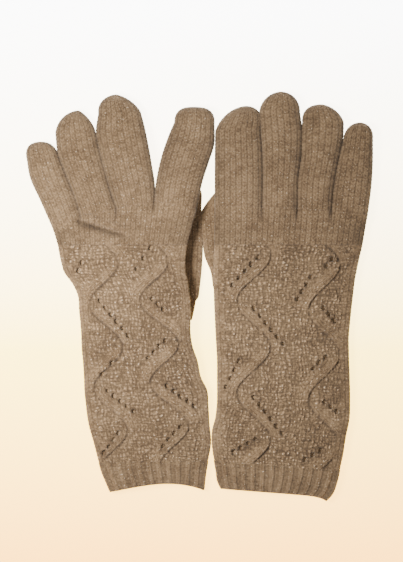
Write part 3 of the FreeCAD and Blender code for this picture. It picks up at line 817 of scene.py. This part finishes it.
def thumb(side):
    """The thumb, lying flat under the edge of the palm."""
    left_edge, right_edge, tip = THUMBS[side]
    thick = THUMB_THICK - 2 * THUMB_RELIEF
    centres, halves, thicks, distance, open_share = tube(left_edge, right_edge, tip, thick)
    ahead = centres[THUMB_AHEAD_ROW] - centres[0]
    back = centres[0] - ahead / np.linalg.norm(ahead) * THUMB_LEAD
    angle = np.linspace(math.radians(THUMB_LEAD_ANGLE), 0, THUMB_LEAD_ROWS)[:-1]
    lead = centres[0] + np.sin(angle)[:, None] * (back - centres[0])
    centres = np.concatenate([lead, centres])
    halves = np.concatenate([halves[0] * np.cos(angle)[:, None], halves])
    thicks = np.concatenate([thicks[0] * (0.4 + 0.6 * np.cos(angle)), thicks])
    distance = np.concatenate([-np.sin(angle) * THUMB_LEAD, distance])
    open_share = np.concatenate([np.cos(angle), open_share])
    x, y, height, _ = tube_surface(centres, halves, thicks, tube_columns(THUMB_WALES))
    base = np.stack([x, y, THUMB_THICK / 2 + THUMB_CLEARANCE + height], axis=-1)
    u, v = stitch_counts(distance, x.shape)
    plain = stocking(u, v)
    relief = THUMB_RELIEF * tip_fade(open_share) * plain
    # Painted shade: darker between the stitch legs.
    shade = 0.2 + 0.8 * plain
    obj = knit(f"{side}_thumb_knit", base, relief, shade, tone(u, v), True, tip=True, wall=THUMB_WALL)
    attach(obj, f"{side}_thumb")
    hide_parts(f"{side}_thumb")
    return obj


def gusset(side):
    """Thumb gusset: the small wedge of fabric between the wrist and the thumb's base."""
    low, high = (np.array(corner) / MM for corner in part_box(f"{side}_thumb_gusset"))
    t = np.linspace(0, 1, GUSSET_ROWS)
    narrow = GUSSET_NARROW[side]
    left = narrow[0] + (low[0] - narrow[0]) * t**0.8
    right = narrow[1] + (high[0] - narrow[1]) * t**0.8
    y = low[1] - GUSSET_OVERLAP + (high[1] + GUSSET_OVERLAP - low[1]) * t
    half = (right - left) / 2
    across, height = ring(half, np.full(GUSSET_ROWS, GUSSET_THICK / 2), tube_columns(GUSSET_WALES))
    x = ((left + right) / 2)[:, None] + across
    base = np.stack([x, np.broadcast_to(y[:, None], x.shape), GUSSET_MIDDLE + height], axis=-1)
    u, v = stitch_counts(y, x.shape)
    plain = stocking(u, v)
    relief = GUSSET_RELIEF * plain
    # Painted shade: darker between the stitch legs.
    shade = 0.2 + 0.8 * plain
    obj = knit(f"{side}_thumb_gusset_knit", base, relief, shade, tone(u, v), True, wall=GUSSET_WALL)
    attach(obj, f"{side}_hand")
    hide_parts(f"{side}_thumb_gusset")
    return obj


def little_edge(side, row):
    """Place of the little-finger edge, from the hem to the little finger."""
    table = np.array(SLEEVE[side])
    column = 1 if side == "left" else 2
    corner = crotch_line(side)[0 if side == "left" else -1]
    edge = curve(table[:, 0], table[:, column], row)[..., 0]
    start = table[-1, column]
    beyond = start + (row - LACE_TOP) / (corner[1] - LACE_TOP) * (corner[0] - start)
    return np.where(row > LACE_TOP, beyond, edge)


def seam(side, name, low, high):
    """Linked seam, a small chain inside the little-finger edge."""
    inward = 1 if side == "left" else -1
    rows = np.linspace(low, high, round((high - low) / ROW) + 1)
    half_width = np.full(len(rows), SEAM_HALF_WIDTH)
    half_thick = np.full(len(rows), SEAM_HALF_THICK)
    across, height = ring(half_width, half_thick, SEAM_COLUMNS)
    x = (little_edge(side, rows) + inward * SEAM_INSET)[:, None] + across
    table = np.array(SLEEVE[side])
    tilt = curve(table[:, 0], table[:, 3], rows)[..., 0]
    y = (rows - inward * tilt * SEAM_REACH)[:, None] + 0 * across
    rise = math.radians(ROLL[side][-1][1])
    z = RISE + SEAM_INSET * math.sin(rise) * step(rows, -90, 0)[:, None] + height
    base = np.stack([x, y, z], axis=-1)
    chain = np.abs(np.sin(math.pi * y / COURSE)) ** 0.7
    # Painted shade: darker between the links of the chain.
    shade = 0.3 + 0.6 * chain
    return knit(name, base, 0.25 * chain, shade, 0.5 + 0 * chain, True, wall=SEAM_WALL)


def webs(side):
    """Small pads of fabric that close the crotches between the fingers."""
    corners = crotch_line(side)
    ends = corners[:, 0]
    half_x, half_y, half_z = WEB_HALF
    ball = np.linspace(0, math.pi, WEB_GRID[0])
    turn = np.linspace(0, 2 * math.pi, WEB_GRID[1], endpoint=False)
    points, groups, first = [], [], 0
    for x, y in corners[1:4]:
        z = RISE + float(lift(side, np.array(KNUCKLE_ROW), x, ends[0], ends[-1]))
        rings = np.stack(
            [
                x + half_x * np.sin(ball)[:, None] * np.cos(turn),
                y - WEB_BACK - half_y * np.cos(ball)[:, None] + 0 * turn,
                z + half_z * np.sin(ball)[:, None] * np.sin(turn),
            ],
            axis=-1,
        )
        points.append(rings.reshape(-1, 3))
        groups.append(grid_quads(*WEB_GRID, first, True, True))
        first += rings.shape[0] * rings.shape[1]
    points = np.concatenate(points)
    plain = stocking(points[:, 0] / WALE, points[:, 1] / COURSE)
    # Painted shade between the stitch legs, in both the shade value and the tone, as the pads have no
    # stitch relief.
    facts = {"depth": 0.3 + 0.5 * plain, "tone": plain}
    return make_mesh(f"{side}_finger_webs_knit", points, groups, facts)


# ---------------------------------------------------------------- wool

DARK = (0.115, 0.069, 0.034)
LIGHT = (0.3, 0.195, 0.104)
# Colour of the painted glints of shiny fibre.
PAINTED_GLINT = (0.75, 0.62, 0.46)


def wool(name, strength, painted_glint_from):
    """Fine brushed wool: heathered tone, painted shade and highlight from each point's shade value,
    painted glints as light flecks, and a soft fibre bump.
    """
    dark = tuple(strength * channel for channel in DARK)
    light = tuple(strength * channel for channel in LIGHT)
    material = bpy.data.materials.new(name)
    material.use_nodes = True
    nodes, links = material.node_tree.nodes, material.node_tree.links
    shader = nodes["Principled BSDF"]
    rest = nodes.new("ShaderNodeAttribute")
    rest.attribute_name = "rest"
    # Painted shade: the shade value that each point carries.
    depth = nodes.new("ShaderNodeAttribute")
    depth.attribute_name = "depth"
    stitch = nodes.new("ShaderNodeAttribute")
    stitch.attribute_name = "tone"

    def noise(scale, detail):
        node = nodes.new("ShaderNodeTexNoise")
        node.inputs["Scale"].default_value = scale
        node.inputs["Detail"].default_value = detail
        node.inputs["Roughness"].default_value = 0.6
        links.new(rest.outputs["Vector"], node.inputs["Vector"])
        return node.outputs["Fac"]

    def ramp(source, low, high, low_out, high_out):
        node = nodes.new("ShaderNodeMapRange")
        node.inputs["From Min"].default_value = low
        node.inputs["From Max"].default_value = high
        node.inputs["To Min"].default_value = low_out
        node.inputs["To Max"].default_value = high_out
        links.new(source, node.inputs["Value"])
        return node.outputs["Result"]

    def maths(kind, a, b):
        node = nodes.new("ShaderNodeMath")
        node.operation = kind
        links.new(a, node.inputs[0])
        links.new(b, node.inputs[1])
        return node.outputs[0]

    def mix(kind, factor, a, b):
        node = nodes.new("ShaderNodeMix")
        node.data_type = "RGBA"
        node.blend_type = kind
        if isinstance(factor, (int, float)):
            node.inputs["Factor"].default_value = factor
        else:
            links.new(factor, node.inputs["Factor"])
        for socket, value in ((node.inputs[6], a), (node.inputs[7], b)):
            if isinstance(value, tuple):
                socket.default_value = (*value, 1.0)
            else:
                links.new(value, socket)
        return node.outputs[2]

    fibre = ramp(noise(850, 4), 0.3, 0.7, -0.25, 0.55)
    cloud = ramp(noise(45, 2), 0.35, 0.65, -0.12, 0.25)
    heather = maths("ADD", fibre, cloud)
    heather = maths("ADD", heather, ramp(stitch.outputs["Fac"], 0, 1, 0.0, 0.35))
    colour = mix("MIX", heather, dark, light)
    # Painted shade and highlight: the colour is multiplied by 0.26 where a point's shade value is 0, up to
    # 1.6 where it is 1.5.
    valley = ramp(depth.outputs["Fac"], 0.0, 1.5, 0.26, 1.6)
    grey = nodes.new("ShaderNodeCombineColor")
    for channel in ("Red", "Green", "Blue"):
        links.new(valley, grey.inputs[channel])
    colour = mix("MULTIPLY", 1.0, colour, grey.outputs[0])
    # Painted glints: light flecks of shiny fibre, only on raised stitches where the painted shade is
    # light.
    bright = ramp(noise(1100, 2), painted_glint_from, painted_glint_from + 0.09, 0.0, 0.6)
    painted_glints = maths("MULTIPLY", bright, ramp(depth.outputs["Fac"], 0.4, 0.9, 0, 1))
    colour = mix("MIX", painted_glints, colour, PAINTED_GLINT)
    links.new(colour, shader.inputs["Base Color"])
    shader.inputs["Roughness"].default_value = 0.92
    shader.inputs["Specular IOR Level"].default_value = 0.2
    shader.inputs["Sheen Weight"].default_value = 0.18
    shader.inputs["Sheen Roughness"].default_value = 0.6
    bump = nodes.new("ShaderNodeBump")
    bump.inputs["Strength"].default_value = 0.5
    bump.inputs["Distance"].default_value = 0.0002
    links.new(noise(2600, 3), bump.inputs["Height"])
    links.new(bump.outputs["Normal"], shader.inputs["Normal"])
    return material


yarns = {  # how light the yarn is, and the noise level its painted glints start at
    "plain_yarn": wool("plain_wool", 0.73, 0.64),
    "lace_yarn": wool("lace_wool", 1.04, 0.58),
    "ribbed_yarn": wool("rib_wool", 0.72, 0.64),
    "seam_yarn": wool("seam_wool", 0.8, 0.62),
}


def dress(obj, yarn):
    """Gives a piece its yarn and its material slot."""
    obj.data.materials.clear()
    obj.data.materials.append(yarns[yarn])


# ---------------------------------------------------------------- the pair

for side in ("left", "right"):
    gauntlet, hand = f"{side}_gauntlet", f"{side}_hand"
    cuff = rib_cuff(side)
    dress(cuff, "ribbed_yarn")
    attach(cuff, gauntlet)
    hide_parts(f"{side}_rib_cuff")
    bottom = RIB_TOP[side]
    across = sleeve_edges(side, np.array([WRIST_ROW])).mean()
    for build, face in ((lace_front, "front"), (lace_under, "under")):
        low_piece = build(side, f"{side}_lace_gauntlet_{face}", bottom, LACE_SPLIT)
        dress(low_piece, "lace_yarn")
        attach(low_piece, gauntlet)
        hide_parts(f"{side}_lace_gauntlet")
        high_piece = build(side, f"{side}_lace_wrist_{face}", LACE_SPLIT, LACE_TOP)
        dress(high_piece, "lace_yarn")
        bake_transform(high_piece)
        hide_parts(f"{side}_lace_wrist")
    piece = palm(side)
    dress(piece, "plain_yarn")
    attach(piece, hand)
    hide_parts(f"{side}_palm")
    for name in FINGERS[side]:
        dress(finger(side, name), "plain_yarn")
    dress(thumb(side), "plain_yarn")
    dress(gusset(side), "plain_yarn")
    lower_seam = seam(side, f"{side}_gauntlet_seam_knit", SLEEVE[side][0][0] + 1.0, SEAM_SPLIT)
    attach(lower_seam, gauntlet)
    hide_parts(f"{side}_gauntlet_seam")
    upper_seam = seam(side, f"{side}_palm_seam_knit", SEAM_SPLIT, SEAM_TOP)
    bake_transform(upper_seam)
    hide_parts(f"{side}_palm_seam")
    pads = webs(side)
    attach(pads, hand)
    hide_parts(f"{side}_finger_webs")
    for piece in (lower_seam, upper_seam, pads):
        dress(piece, "seam_yarn")

# ---------------------------------------------------------------- table, light, camera

TABLE_HALF = 3.0
CORNERS = ((-1, -1), (1, -1), (1, 1), (-1, 1))
table_corners = [(x * TABLE_HALF, y * TABLE_HALF, 0) for x, y in CORNERS]
floor_mesh = bpy.data.meshes.new("table")
floor_mesh.from_pydata(table_corners, [], [(0, 1, 2, 3)])
floor = bpy.data.objects.new("table", floor_mesh)
bpy.context.scene.collection.objects.link(floor)
cloth = bpy.data.materials.new("table_paper")
cloth.use_nodes = True
nodes, links = cloth.node_tree.nodes, cloth.node_tree.links
shader = nodes["Principled BSDF"]
place = nodes.new("ShaderNodeTexCoord")
split = nodes.new("ShaderNodeSeparateXYZ")
links.new(place.outputs["Object"], split.inputs[0])
fade = nodes.new("ShaderNodeMapRange")
fade.inputs["From Min"].default_value = -0.2
fade.inputs["From Max"].default_value = 0.19
links.new(split.outputs["Y"], fade.inputs["Value"])
tint = nodes.new("ShaderNodeValToRGB")
tint.color_ramp.elements[0].color = (0.66, 0.29, 0.05, 1)
tint.color_ramp.elements[1].color = (1.0, 1.0, 1.0, 1)
tint.color_ramp.elements.new(0.42).color = (0.76, 0.56, 0.13, 1)
links.new(fade.outputs["Result"], tint.inputs["Fac"])
links.new(tint.outputs["Color"], shader.inputs["Base Color"])
links.new(tint.outputs["Color"], shader.inputs["Emission Color"])
shader.inputs["Emission Strength"].default_value = 9.0
shader.inputs["Roughness"].default_value = 0.9
floor_mesh.materials.append(cloth)

world = bpy.data.worlds.new("studio")
world.use_nodes = True
world.node_tree.nodes["Background"].inputs["Color"].default_value = (1.0, 0.99, 0.97, 1)
world.node_tree.nodes["Background"].inputs["Strength"].default_value = 0.25
bpy.context.scene.world = world


def softbox(name, place, size, power, colour, spread=180.0):
    """Square area light aimed at the middle of the pair."""
    data = bpy.data.lights.new(name, "AREA")
    data.shape = "SQUARE"
    data.size = size
    data.energy = power
    data.color = colour
    data.spread = math.radians(spread)
    light = bpy.data.objects.new(name, data)
    light.location = place
    toward = -light.location.normalized()
    light.rotation_mode = "QUATERNION"
    light.rotation_quaternion = toward.to_track_quat("-Z", "Y")
    bpy.context.scene.collection.objects.link(light)


softbox("key", (-0.25, 0.01, 0.33), 0.16, 2.3, (1.0, 0.97, 0.92), 120.0)
softbox("fill", (0.25, -0.1, 1.1), 0.8, 4.5, (1.0, 0.98, 0.95))

camera_data = bpy.data.cameras.new("camera")
camera_data.lens = 126.2
camera_data.sensor_width = 36.0
camera = bpy.data.objects.new("camera", camera_data)
camera.location = (0.001, 0.0102, 1.3)
bpy.context.scene.collection.objects.link(camera)
bpy.context.scene.camera = camera
